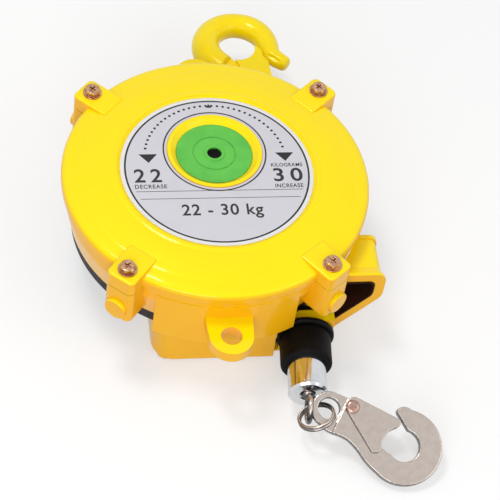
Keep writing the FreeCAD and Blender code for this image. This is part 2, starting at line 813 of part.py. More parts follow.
# ---------------------------------------------------------------- rope, guide, bumper, swivel
def make_rope_guide():
    r, t = guide_flange_radius, guide_flange_thickness
    total = t + guide_length
    bore = guide_bore_radius
    profile = [
        (bore + 3, 0),
        (guide_body_radius, 0),
        (guide_body_radius, guide_length),
        (r, guide_length),
        (r, total - 1.2),
        ((r - 0.35, total - 0.35), (r - 1.2, total)),
        (bore + 3, total),
        ((bore + 0.9, total - 0.9), (bore, total - 3)),
        (bore, 3),
        ((bore + 0.9, 0.9), (bore + 3, 0)),
    ]
    return rope_turned(profile, guide_seat_y + guide_length * math.cos(math.radians(rope_yaw)))


def make_bumper():
    r, length = bumper_radius, bumper_length
    hole = ferrule_radius
    cup = sleeve_radius + 0.1
    cup_depth = bumper_length - (bumper_start_y() - sleeve_start_y) / math.cos(math.radians(rope_yaw))
    profile = [
        (rope_radius + 0.6, 0),
        (r - 2.0, 0),
        ((r - 0.6, 0.6), (r, 2.0)),
        (r, length - 2.0),
        ((r - 0.6, length - 0.6), (r - 2.0, length)),
        (cup, length),
        (cup, length - cup_depth - 0.2),
        (hole - 1, length - cup_depth - 0.2),
        (rope_radius + 0.6, length - cup_depth - 3),
    ]
    return rope_turned(profile, bumper_start_y())


def bumper_start_y():
    reach = guide_flange_thickness + bumper_gap
    return guide_seat_y - reach * math.cos(math.radians(rope_yaw))


def make_swivel_sleeve():
    r, inner, length = sleeve_radius, sleeve_radius - sleeve_wall, sleeve_length
    profile = [
        (rope_radius + 0.5, 0),
        (r - 1.0, 0),
        (r, 1.0),
        (r, length),
        (inner, length),
        (inner, 4.0),
        (rope_radius + 0.5, 4.0),
    ]
    return rope_turned(profile, sleeve_start_y)


def sleeve_end_y():
    return on_rope(sleeve_start_y).y + rope_direction.y * sleeve_length


def make_end_ring():
    inner = sleeve_radius - sleeve_wall
    bore = eye_stem_radius + 0.3
    t = end_ring_thickness
    profile = [
        (bore, -5.0),
        (inner - 0.03, -5.0),
        (inner - 0.03, 0.0),
        (sleeve_radius + 0.3, 0.0),
        (sleeve_radius + 0.3, t - 1.4),
        (sleeve_radius - 1.0, t),
        (bore + 1.4, t),
        (bore, t - 1.4),
    ]
    return rope_turned(profile, sleeve_end_y())


def make_swivel_washer():
    start = -5.0 - 0.05 - washer_thickness
    profile = [
        (eye_stem_radius + 0.2, start),
        (eye_head_radius, start),
        (eye_head_radius, start + washer_thickness),
        (eye_stem_radius + 0.2, start + washer_thickness),
    ]
    return rope_turned(profile, sleeve_end_y())


def make_swivel_eye():
    head_front = -5.0 - 2 * 0.05 - washer_thickness
    reach = (sleeve_end_y() - eye_loop_y) / math.cos(math.radians(rope_yaw)) - eye_loop_radius
    stem = rope_turned([
        (0, head_front - eye_head_thickness),
        (eye_head_radius, head_front - eye_head_thickness),
        (eye_head_radius, head_front),
        (eye_stem_radius, head_front),
        (eye_stem_radius, end_ring_thickness + 0.2),
        (eye_wire_radius + 0.6, reach),
        (0, reach),
    ], sleeve_end_y())
    loop = torus(eye_loop_radius, eye_wire_radius, on_rope(eye_loop_y), rope_direction.cross(UP))
    return stem.fuse(loop).removeSplitter()


def make_rope_ferrule():
    start = sleeve_start_y + rope_direction.y * 4.1
    return rope_turned([
        (rope_radius, 0),
        (ferrule_radius - 0.8, 0),
        (ferrule_radius, 0.8),
        (ferrule_radius, ferrule_length),
        (rope_radius, ferrule_length),
    ], start)


def make_rope_lead():
    start = rope_start + rope_direction * 0.3
    end = on_rope(sleeve_start_y + rope_direction.y * (4.1 + ferrule_length))
    return rod(rope_radius - 0.02, start, end)


def make_wound_rope():
    coils = []
    for k, (radius, z) in enumerate(windings):
        section = Part.makeCircle(rope_radius, Vec(radius, 0, z), Vec(0, 1, 0))
        face = Part.Face(Part.Wire(section))
        sweep = 300 if k == 0 else 360
        coil = face.revolve(Vec(0, 0, 0), UP, sweep)
        coil.rotate(Vec(0, 0, 0), UP, -rope_yaw)
        coil.translate(drive_centre)
        coils.append(coil)
    return Part.makeCompound(coils)


def make_split_ring():
    shift = Vec(ring_normal).normalize() * ring_coil_shift
    lower = torus(ring_radius, ring_wire_radius, ring_centre - shift, ring_normal)
    upper = torus(ring_radius, ring_wire_radius, ring_centre + shift, ring_normal)
    return lower.fuse(upper).removeSplitter()


# ---------------------------------------------------------------- snap hook
snap_place = frame_at(snap_eye_centre, snap_long_axis, snap_face_axis)


def make_snap_hook():
    cx, cy = bowl_centre
    ix, iy = bowl_inner_centre
    half = snap_thickness / 2

    def bowl_point(angle, radius=bowl_radius):
        dx, dy = polar(radius, angle)
        return cx + dx, cy + dy

    def inner_point(angle, radius=bowl_inner_radius):
        dx, dy = polar(radius, angle)
        return ix + dx, iy + dy

    nose_x, nose_y = nose_centre
    body = outline(
        (0, snap_eye_radius),
        ((-snap_eye_radius, 0), (-2.0, -snap_eye_radius - 0.2)),
        ((4.5, -13.3), (10.9, -12.9)),
        ((15.0, -12.45), (19.3, -12.6)),
        ((25.5, -14.7), (31.5, -17.9)),
        ((38.0, -21.0), bowl_point(-112)),
        (bowl_point(0), bowl_point(104)),
        ((nose_x - 0.6, nose_y + nose_radius), (nose_x - nose_radius, nose_y)),
        ((nose_x - nose_radius + 0.5, nose_y - 1.8), (nose_x - 1.2, nose_y - nose_radius + 0.2)),
        inner_point(100),
        (inner_point(-10), inner_point(-120)),
        ((38.0, -6.6), (31.0, -3.2)),
        (18.5, 3.5),
        (17.5, 9.5),
        (12.5, 12.0),
    )
    plate = prism(body, -half, half)
    thin = prism(outline((-14, -14), (8.6, -14), (8.6, 14), (-14, 14)), snap_eye_thickness / 2, half + 1)
    lower = thin.copy()
    lower.rotate(Vec(0, 0, 0), Vec(1, 0, 0), 180)
    plate = plate.cut([thin, lower, cylinder(snap_hole_radius, -5, 5)])
    plate = plate.cut(cylinder(rivet_radius + 0.05, -9, 9, *gate_pivot))
    px, py = gate_pivot
    spring_pocket = cylinder(4.6, -1.1, 1.1, px, py).fuse(block(px, px + 8, py - 2, py + 4.6, -1.1, 1.1))
    return placed(plate.cut(spring_pocket), snap_place)


def gate_outline(inset=0.0):
    px, py = gate_pivot
    return outline(
        (px - 4.2 + inset, py - 1.6),
        ((px - 3.6 + inset, py + 4.9 - inset), (px - 0.5, py + 6.8 - inset)),
        (42.4, gate_back_y - inset),
        ((44.6 - inset, 12.6 - inset), (44.4 - inset, 9.2)),
        ((40.2 - inset, 3.4), (39.6 - inset, -6.0)),
        ((39.4 - inset, -11.8 + inset), (35.2, -12.6 + inset)),
        (px - 1.6 + inset, py - 4.4 + inset * 0.6),
    )


def make_snap_gate():
    inner = snap_thickness / 2 + gate_side_gap
    outer = inner + gate_sheet
    shell = prism(gate_outline(), -outer, outer)
    px, py = gate_pivot
    gap = block(px - 6, 60, -30, gate_back_y - gate_sheet, -inner, inner)
    gate = shell.cut(gap)
    gate = gate.cut(cylinder(rivet_radius + 0.05, -12, 12, px, py))
    return placed(gate, snap_place)


def make_gate_rivet():
    reach = snap_thickness / 2 + gate_side_gap + gate_sheet + 0.05
    px, py = gate_pivot
    rim, top, flat = rivet_head_radius, reach + rivet_head_height, rivet_head_radius * 0.3
    shoulder = reach + rivet_head_height * 0.4
    bulge = (rim * 0.78, reach + rivet_head_height * 0.83)
    rivet = turned([
        (0, -top),
        (flat, -top),
        ((bulge[0], -bulge[1]), (rim, -shoulder)),
        (rim, -reach),
        (rivet_radius, -reach),
        (rivet_radius, reach),
        (rim, reach),
        (rim, shoulder),
        (bulge, (flat, top)),
        (0, top),
    ], px, py)
    return placed(rivet, snap_place)


def make_gate_spring():
    px, py = gate_pivot
    coil = torus(3.4, 0.6, Vec(px, py, 0))
    leg = rod(0.5, Vec(px + 3.4, py, 0), Vec(px + 12.5, py + 4.2, 0))
    return placed(coil.fuse(leg).removeSplitter(), snap_place)


# ---------------------------------------------------------------- top hook
def bar_through(stations):
    """Round bar through (x, y, radius, heading) stations in the plane z = hook_z."""
    sections = []
    for x, y, radius, heading in stations:
        direction = Vec(*polar(1.0, heading), 0)
        sections.append(Part.Wire(Part.makeCircle(radius, Vec(x, y, hook_z), direction)))
    return Part.makeLoft(sections, True, False)


def make_upper_hook():
    stations = [
        (hook_x, hook_boss_top_y + 2.0, hook_stem_radius + 1.5, 90),
        (hook_x - 0.2, hook_boss_top_y + 5.0, hook_stem_radius + 1.6, 95),
        (hook_x - 4.5, hook_bowl_y - 26.5, hook_section + 0.6, 128),
    ]
    swell = ((228, 1.1), (205, 1.4), (180, 1.2), (145, 0.6), (105, 0.1), (65, 0.0), (30, -0.3), (5, -0.8))
    for angle, extra in swell:
        dx, dy = polar(hook_bowl_radius, angle)
        stations.append((hook_bowl_x + dx, hook_bowl_y + dy, hook_section + extra, angle - 90))
    right = hook_bowl_x + hook_bowl_radius
    stations.append((right + 2.0, hook_bowl_y - 7.0, 6.9, -62))
    stations.append((right + 8.4, hook_bowl_y - 14.0, 5.9, -40))
    stations.append((right + 11.2, hook_bowl_y - 16.3, 5.0, -40))
    stations.append((right + 12.4, hook_bowl_y - 17.3, 3.2, -40))
    bar = bar_through(stations)
    collar = rod(hook_stem_radius + 2.8, Vec(hook_x, hook_boss_top_y + housing_gap, hook_z),
                 Vec(hook_x, hook_boss_top_y + 2.8, hook_z))
    bar = bar.fuse(collar)
    px, py = latch_pivot
    ear_end = ((px + 6.1, py), (px + 1, py + 6.4))
    ear_face = outline((hook_x, py - 6.4), (px + 1, py - 6.4), ear_end, (hook_x, py + 12))
    ear = prism(ear_face, hook_z - latch_ear_half_width, hook_z + latch_ear_half_width)
    hook = fuse([bar, ear])
    for side in (-1, 1):
        a, b = sorted((hook_z + side * latch_ear_half_width, hook_z + side * 20))
        window = block(px - 17, px + 30, py - 9, py + 40, a, b)
        window = window.fuse(block(px - 26, px, py + 2, py + 40, a, b))
        hook = hook.cut(cylinder(latch_sweep_radius, a, b, px, py).common(window))
    hook = hook.cut(cylinder(latch_pin_radius + 0.05, hook_z - 10, hook_z + 10, px, py))
    for side in (-1, 1):
        a, b = sorted((hook_z + side * latch_tongue_half_width, hook_z + side * 20))
        hook = hook.cut(cylinder(latch_spring_radius + 1.4, a, b, px, py))
    nut_base_y = hook_boss_top_y - hook_boss_wall - thrust_washer_thickness - nut_height
    stem_end = Vec(hook_x, hook_boss_top_y + 1, hook_z)
    stem = rod(hook_stem_radius, Vec(hook_x, nut_base_y - 1, hook_z), stem_end)
    return fuse([hook, stem]).cut(nut_pin_hole(0.05))


def nut_pin_hole(clearance):
    y = hook_boss_top_y - hook_boss_wall - thrust_washer_thickness - nut_height * 0.5
    return rod(1.5 + clearance, Vec(hook_x, y, hook_z - 14), Vec(hook_x, y, hook_z + 14))


def make_hook_nut():
    high_y = hook_boss_top_y - hook_boss_wall - thrust_washer_thickness
    nut = hexagon(nut_flats, 0, nut_height)
    nut = nut.cut(cylinder(hook_stem_radius + 0.03, -1, nut_height + 1))
    nut = placed(nut, frame_at(Vec(hook_x, high_y, hook_z), Vec(1, 0, 0), Vec(0, -1, 0)))
    return nut.cut(nut_pin_hole(0.05))


def make_hook_nut_pin():
    y = hook_boss_top_y - hook_boss_wall - thrust_washer_thickness - nut_height * 0.5
    reach = nut_flats / 2 + 0.8
    return rod(1.5, Vec(hook_x, y, hook_z - reach), Vec(hook_x, y, hook_z + reach))


def make_hook_washer():
    y = hook_boss_top_y - hook_boss_wall
    return rod(12.0, Vec(hook_x, y - thrust_washer_thickness, hook_z), Vec(hook_x, y, hook_z)).cut(
        rod(hook_stem_radius + 0.1, Vec(hook_x, y - 5, hook_z), Vec(hook_x, y + 1, hook_z)))


def latch_outline():
    px, py = latch_pivot
    return outline(
        (px - 5.5, py - 3.0),
        (px - 12.8, py + 16.6),
        ((px - 3.0, py + 18.6), (px + 2.3, py + 28.0)),
        (px + 2.6, py + 30.6),
        (px + 6.6, py + 26.6),
        (px + 7.2, py + 20.0),
        (px + 10.4, py + 15.0),
        (px + 11.2, py + 1.0),
        ((px + 4.2, py - 7.2), (px - 5.5, py - 3.0)),
    )


def make_hook_latch():
    px, py = latch_pivot
    shell = prism(latch_outline(), hook_z - latch_half_width, hook_z + latch_half_width)
    inner = latch_half_width - latch_sheet
    web_x = px + 6.6
    gap = block(px - 20, web_x, py - 20, py + 40, hook_z - inner, hook_z + inner)
    nose_gap = block(px - 20, px + 20, py + 21.5, py + 40, hook_z - inner, hook_z + inner)
    latch = shell.cut([gap, nose_gap])
    return latch.cut(cylinder(latch_pin_radius + 0.05, hook_z - 10, hook_z + 10, px, py))


def make_latch_pin():
    px, py = latch_pivot
    pin = cylinder(latch_pin_radius, hook_z - latch_half_width - 1.2, hook_z + latch_half_width + 1.2, px, py)
    heads = [tube(latch_pin_radius + 1.5, 0.5, hook_z + side * (latch_half_width + 0.85) - 0.6,
                  hook_z + side * (latch_half_width + 0.85) + 0.6, px, py) for side in (-1, 1)]
    return fuse([pin] + heads)


def make_latch_spring():
    px, py = latch_pivot
    middle = (latch_tongue_half_width + latch_half_width - latch_sheet) / 2
    centres = [Vec(px, py, hook_z + side * middle) for side in (-1, 1)]
    return Part.makeCompound([torus(latch_spring_radius, latch_spring_wire, centre) for centre in centres])


# ---------------------------------------------------------------- drive
def make_tension_shaft():
    y = drive_offset
    shaft = turned([
        (0, 1.6),
        (rear_journal_radius - 0.6, 1.6),
        (rear_journal_radius, 2.2),
        (rear_journal_radius, bearing_starts_z[0] - 1.2),
        (shaft_radius, bearing_starts_z[0] - 1.2),
        (shaft_radius, arbor_start_z),
        (arbor_radius, arbor_start_z),
        (arbor_radius, arbor_end_z),
        (shaft_radius, arbor_end_z),
        (shaft_radius, disc_top_z - disc_thickness - 0.2),
        (0, disc_top_z - disc_thickness - 0.2),
    ], 0, y)
    end_hex = hexagon(8.0, disc_top_z - disc_thickness - 1, disc_top_z - 0.6, 0, y)
    slot = block(-1.0, 1.0, y - arbor_radius - 1, y - arbor_radius + 5, 47, arbor_end_z - 1)
    return shaft.fuse(end_hex).removeSplitter().cut(slot)


def make_shaft_rings():
    rings = []
    for low in (bearing_starts_z[0] + bearing_width + 0.05, bearing_starts_z[1] - 1.25):
        rings.append(tube(shaft_radius + 1.8, shaft_radius + 0.02, low, low + 1.2, 0, drive_offset))
    return Part.makeCompound(rings)


def bearing_ring(outer, inner, groove_radius):
    rings = []
    for low in bearing_starts_z:
        ring = tube(outer, inner, low, low + bearing_width, 0, drive_offset)
        groove = torus(groove_radius, ball_radius + 0.05, Vec(0, drive_offset, low + bearing_width / 2))
        rings.append(ring.cut(groove))
    return Part.makeCompound(rings)


ball_circle_radius = (shaft_radius + bearing_outer_radius) / 2


def make_bearing_inner_rings():
    return bearing_ring(ball_circle_radius - 1.4, shaft_radius + 0.02, ball_circle_radius)


def make_bearing_outer_rings():
    return bearing_ring(bearing_outer_radius, ball_circle_radius + 1.4, ball_circle_radius)


def make_bearing_balls():
    balls = []
    for low in bearing_starts_z:
        for k in range(ball_count):
            x, y = polar(ball_circle_radius, 360 / ball_count * k)
            balls.append(Part.makeSphere(ball_radius, Vec(x, y + drive_offset, low + bearing_width / 2)))
    return Part.makeCompound(balls)


def make_drum():
    slope = winding_step_radius / winding_pitch

    def surface(z):
        return rest_winding_radius - 0.7 + slope * (z - rope_z)

    last_z = windings[-1][1]
    drum = turned([
        (bearing_outer_radius + 0.02, bearing_starts_z[0] - 0.4),
        (drum_hub_radius, bearing_starts_z[0] - 0.4),
        (drum_hub_radius, drum_rear_z + 1),
        (surface(drum_rear_z) - 6, drum_rear_z),
        (rest_winding_radius + rope_radius + 0.8, drum_rear_z),
        (rest_winding_radius + rope_radius + 0.8, drum_rear_z + 1.6),
        (surface(drum_rear_z + 2), drum_rear_z + 2),
        (surface(last_z + 2.6), last_z + 2.6),
        (drum_flange_radius, last_z + 3.0),
        (drum_flange_radius, drum_front_z),
        (surface(drum_front_z) - 9, drum_front_z),
        (surface(drum_rear_z) - 7, drum_rear_z + drum_web_thickness),
        (drum_hub_radius, drum_rear_z + drum_web_thickness + 2),
        (drum_hub_radius, bearing_starts_z[1] + bearing_width + 1),
        (bearing_outer_radius + 0.02, bearing_starts_z[1] + bearing_width + 1),
    ], 0, drive_offset)
    for radius, z in windings:
        drum = drum.cut(torus(radius, rope_radius + 0.05, Vec(0, drive_offset, z)))
    bridge = tube(drum_hub_radius - 1, shaft_radius + 3, bearing_starts_z[0] + bearing_width + 1.6,
                  bearing_starts_z[1] - 1.6, 0, drive_offset)
    drum = drum.fuse(bridge).removeSplitter()
    for k in range(case_screw_count):
        x, y = polar(drum_hub_radius + 20, 60 * k + 30)
        drum = drum.cut(cylinder(9.0, drum_rear_z - 2, drum_rear_z + 8, x, y + drive_offset))
        x, y = polar(case_screw_radius, 60 * k)
        drum = drum.cut(cylinder(2.05, drum_front_z - 6, drum_front_z + 1, x, y + drive_offset))
    return drum


def make_spring_case():
    low = drum_front_z
    y = drive_offset
    cup = cylinder(case_radius, low, case_top_z, 0, y)
    cup = cup.makeFillet(2.0, [e for e in cup.Edges if all(abs(v.Z - low) < 1e-6 for v in e.Vertexes)])
    room = cylinder(case_radius - case_sheet, low + case_sheet, case_top_z + 1, 0, y)
    cup = cup.cut([room, cylinder(arbor_radius + 4, low - 1, low + 5, 0, y)])
    for k in range(6):
        dx, dy = polar(case_screw_radius, 60 * k)
        cup = cup.cut(cylinder(2.15, low - 1, low + 3, dx, dy + y))
    return cup


def make_case_lid():
    y = drive_offset
    lid = tube(case_radius, arbor_radius + 1.0, case_top_z, case_top_z + case_sheet, 0, y)
    for k in range(6):
        dx, dy = polar(46, 60 * k)
        lid = lid.cut(cylinder(8, case_top_z - 1, case_top_z + 3, dx, dy + y))
    return lid


def make_case_screws():
    screws = []
    seat = drum_front_z + case_sheet
    for k in range(6):
        dx, dy = polar(case_screw_radius, 60 * k)
        x, y = dx, dy + drive_offset
        head = cylinder(3.4, seat, seat + 2.0, x, y)
        screws.append(head.fuse(cylinder(2.0, seat - 6, seat + 0.1, x, y)).removeSplitter())
    return Part.makeCompound(screws)


def make_mainspring():
    """Flat strip wound in half turns from the arbor out to the case."""
    start = arbor_radius + 0.6
    step = (spring_outer_radius - start) / (2 * spring_turns)

    def side(extra):
        edges = []
        radius = start + extra
        here = Vec(radius, 0, 0)
        sign = 1
        for k in range(2 * spring_turns):
            end = Vec(-sign * (radius + step * (k + 1)), 0, 0)
            centre_x = (here.x + end.x) / 2
            reach = abs(here.x - end.x) / 2
            edges.append(Part.Arc(here, Vec(centre_x, sign * reach, 0), end).toShape())
            here = end
            sign = -sign
        return edges

    inner, outer = side(0.0), side(spring_strip)
    caps = [
        Part.makeLine(inner[0].Vertexes[0].Point, outer[0].Vertexes[0].Point),
        Part.makeLine(inner[-1].Vertexes[-1].Point, outer[-1].Vertexes[-1].Point),
    ]
    wire = Part.Wire(Part.__sortEdges__(inner + outer + caps))
    strip = prism(Part.Face(wire), arbor_start_z + 4, arbor_end_z - 1)
    strip.rotate(Vec(0, 0, 0), UP, -90)
    strip.translate(drive_centre)
    hook_end = block(-0.8, 0.8, drive_offset - arbor_radius - 1.6, drive_offset - arbor_radius + 4,
                     arbor_start_z + 4, arbor_end_z - 1.2)
    return strip.fuse(hook_end).removeSplitter()


def make_ratchet_wheel():
    pitch = 360 / ratchet_teeth
    points = []
    for k in range(ratchet_teeth):
        points.append(polar(ratchet_radius, pitch * k))
        points.append(polar(ratchet_radius - ratchet_tooth_depth, pitch * k + 1.2))
    wheel = prism(outline(*points), ratchet_z, ratchet_z + ratchet_thickness)
    wheel.translate(drive_centre)
    return wheel.cut(drill(shaft_radius + press_clearance, 0, drive_offset))


def make_pawl():
    """Arm from the pivot with a beak that drops in between two teeth."""
    px, py = pawl_pivot
    low, high = ratchet_z + 0.1, ratchet_z + ratchet_thickness - 0.1
    tip_x, tip_y = polar(ratchet_radius - ratchet_tooth_depth + 0.6, 4.7)
    tip_y += drive_offset
    arm = prism(outline(
        (tip_x, tip_y),
        (tip_x + 3.3, tip_y - 0.1),
        (px + 4.6, py - 5.0),
        (px + 4.6, py),
        (px - 4.6, py),
        (px - 2.8, py - 7.8),
        (tip_x + 2.5, tip_y + 2.2),
    ), low, high)
    eye = cylinder(5.2, low, high, px, py)
    return arm.fuse(eye).removeSplitter().cut(drill(pawl_pin_radius + running_clearance, px, py))


def make_pawl_pin():
    px, py = pawl_pivot
    top = crown_z - plate_recess - 5.1
    pin = cylinder(pawl_pin_radius, ratchet_z - 0.4, top, px, py)
    head = cylinder(pawl_pin_radius + 1.6, ratchet_z - 0.5, ratchet_z, px, py)
    return pin.fuse(head).removeSplitter()


def make_pawl_spring():
    px, py = pawl_pivot
    coil_radius = pawl_pin_radius + 1.0
    low = ratchet_z + ratchet_thickness + 0.75
    high = low + 2 * pawl_spring_wire + 0.05
    lower = torus(coil_radius, pawl_spring_wire, Vec(px, py, low))
    upper = torus(coil_radius, pawl_spring_wire, Vec(px, py, high))
    leg_start = Vec(px + coil_radius, py, high)
    leg = rod(pawl_spring_wire * 0.85, leg_start, leg_start + Vec(5, 10, 0))
    return Part.makeCompound([lower, upper.fuse(leg).removeSplitter()])


MAKERS = {
    "front_cover": make_front_cover,
    "name_plate": make_name_plate,
    "hub_disc": make_hub_disc,
    "main_casing": make_main_casing,
    "cover_gasket": make_cover_gasket,
    "cover_screws": make_cover_screws,
    "cover_washers": make_cover_washers,
    "rear_cover": make_rear_cover,
    "rear_screws": make_rear_screws,
    "rope_housing": make_rope_housing,
    "mouth_liner": make_mouth_liner,
    "rope_guide": make_rope_guide,
    "tension_shaft": make_tension_shaft,
    "shaft_rings": make_shaft_rings,
    "bearing_inner_rings": make_bearing_inner_rings,
    "bearing_outer_rings": make_bearing_outer_rings,
    "bearing_balls": make_bearing_balls,
    "drum": make_drum,
    "wound_rope": make_wound_rope,
    "spring_case": make_spring_case,
    "case_lid": make_case_lid,
    "case_screws": make_case_screws,
    "mainspring": make_mainspring,
    "ratchet_wheel": make_ratchet_wheel,
    "pawl": make_pawl,
    "pawl_pin": make_pawl_pin,
    "pawl_spring": make_pawl_spring,
    "upper_hook": make_upper_hook,
    "hook_nut": make_hook_nut,
    "hook_nut_pin": make_hook_nut_pin,
    "hook_washer": make_hook_washer,
    "hook_latch": make_hook_latch,
    "latch_pin": make_latch_pin,
    "latch_spring": make_latch_spring,
    "rope_lead": make_rope_lead,
    "bumper": make_bumper,
    "rope_ferrule": make_rope_ferrule,
    "swivel_sleeve": make_swivel_sleeve,
    "end_ring": make_end_ring,
    "swivel_washer": make_swivel_washer,
    "swivel_eye": make_swivel_eye,
    "split_ring": make_split_ring,
    "snap_hook": make_snap_hook,
    "snap_gate": make_snap_gate,
    "gate_rivet": make_gate_rivet,
    "gate_spring": make_gate_spring,
}

os.makedirs("parts", exist_ok=True)
for name, maker in MAKERS.items():
    shape = maker()
    shape.exportStep("parts/" + name + ".step")
    box = shape.BoundBox
    corners = (box.XMin, box.XMax, box.YMin, box.YMax, box.ZMin, box.ZMax)
    print(f"{name:20s} solids {len(shape.Solids)} valid {shape.isValid()} volume {shape.Volume:10.1f}",
          *(f"{value:7.1f}" for value in corners))
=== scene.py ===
# %% [markdown]
# # A spring tool balancer, dressed on its CAD frame
#
# A tool balancer hangs over a workbench and carries a heavy tool on a wire rope. A wound spring inside pulls the rope
# back, so the tool feels almost weightless. This lesson takes the balancer's solids, which come from CAD and are
# already right in shape and size, and gives them their finishes: enamel, chrome, rubber, zinc and print.

# %% Load the frame
import json
import math

import bpy
from mathutils import Matrix, Vector

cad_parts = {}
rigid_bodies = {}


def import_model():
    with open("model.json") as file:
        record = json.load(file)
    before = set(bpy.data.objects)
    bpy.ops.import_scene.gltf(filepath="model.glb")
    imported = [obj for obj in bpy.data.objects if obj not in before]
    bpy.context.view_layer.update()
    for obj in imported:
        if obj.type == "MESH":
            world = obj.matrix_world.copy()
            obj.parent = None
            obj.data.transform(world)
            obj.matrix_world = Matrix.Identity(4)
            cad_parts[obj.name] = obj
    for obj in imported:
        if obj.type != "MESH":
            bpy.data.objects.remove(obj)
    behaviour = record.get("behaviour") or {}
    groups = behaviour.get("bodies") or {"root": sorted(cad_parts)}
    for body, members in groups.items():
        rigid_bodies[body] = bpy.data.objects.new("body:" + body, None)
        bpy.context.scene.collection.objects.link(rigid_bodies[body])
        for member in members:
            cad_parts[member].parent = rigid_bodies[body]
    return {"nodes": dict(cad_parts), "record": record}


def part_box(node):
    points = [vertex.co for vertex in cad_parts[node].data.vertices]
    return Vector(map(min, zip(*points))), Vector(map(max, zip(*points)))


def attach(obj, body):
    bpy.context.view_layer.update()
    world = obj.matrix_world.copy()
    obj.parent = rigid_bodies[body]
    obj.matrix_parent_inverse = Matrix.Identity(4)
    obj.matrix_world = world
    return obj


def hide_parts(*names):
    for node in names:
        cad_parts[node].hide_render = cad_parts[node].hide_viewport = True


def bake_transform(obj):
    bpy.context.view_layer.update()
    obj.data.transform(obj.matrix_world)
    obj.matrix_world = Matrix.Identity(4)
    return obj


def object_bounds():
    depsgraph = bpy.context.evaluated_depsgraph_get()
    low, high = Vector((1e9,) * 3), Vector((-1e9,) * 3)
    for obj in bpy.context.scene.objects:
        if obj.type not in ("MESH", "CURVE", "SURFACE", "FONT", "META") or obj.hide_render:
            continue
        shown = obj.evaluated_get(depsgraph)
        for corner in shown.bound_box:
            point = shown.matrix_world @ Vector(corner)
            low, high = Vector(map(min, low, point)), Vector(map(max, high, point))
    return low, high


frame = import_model()
cad_low, cad_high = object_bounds()
nodes = frame["nodes"]
MM = 0.001
print("CAD nodes:", len(nodes), "size in mm:", [round(c / MM, 1) for c in cad_high - cad_low])

# %% [markdown]
# ## Socket maths
#
# A finish is a small formula: where on the surface, how scratched, how dark. Blender draws such a formula as Math
# nodes. The class below wraps one socket and lets Python's own signs add those nodes, so a formula reads like one.

# %% A socket that can be added and multiplied
class Wire:
    """One value in a material's node tree."""

    def __init__(self, tree, socket):
        self.tree = tree
        self.socket = socket

    def math(self, operation, *others):
        node = self.tree.nodes.new("ShaderNodeMath")
        node.operation = operation
        for slot, value in zip(node.inputs, (self, *others)):
            if isinstance(value, Wire):
                self.tree.links.new(value.socket, slot)
            else:
                slot.default_value = value
        return Wire(self.tree, node.outputs[0])

    def flipped(self, operation, other):
        node = self.tree.nodes.new("ShaderNodeMath")
        node.operation = operation
        node.inputs[0].default_value = other
        self.tree.links.new(self.socket, node.inputs[1])
        return Wire(self.tree, node.outputs[0])

    def __add__(self, other):
        return self.math("ADD", other)

    def __sub__(self, other):
        return self.math("SUBTRACT", other)

    def __rsub__(self, other):
        return self.flipped("SUBTRACT", other)

    def __mul__(self, other):
        return self.math("MULTIPLY", other)

    def __truediv__(self, other):
        return self.math("DIVIDE", other)

    def __lt__(self, other):
        return self.math("LESS_THAN", other)

    def __gt__(self, other):
        return self.math("GREATER_THAN", other)

    __radd__ = __add__
    __rmul__ = __mul__


# %% [markdown]
# ## One finish, one class
#
# Every finish below starts from the same few nodes: Object coordinates, a Principled shader and a bump. Numbers that
# hold all over the surface go straight on the shader. Only colour, roughness and bump are allowed to vary.

# %% The finish
EDGE_RADIUS_MM = 0.5


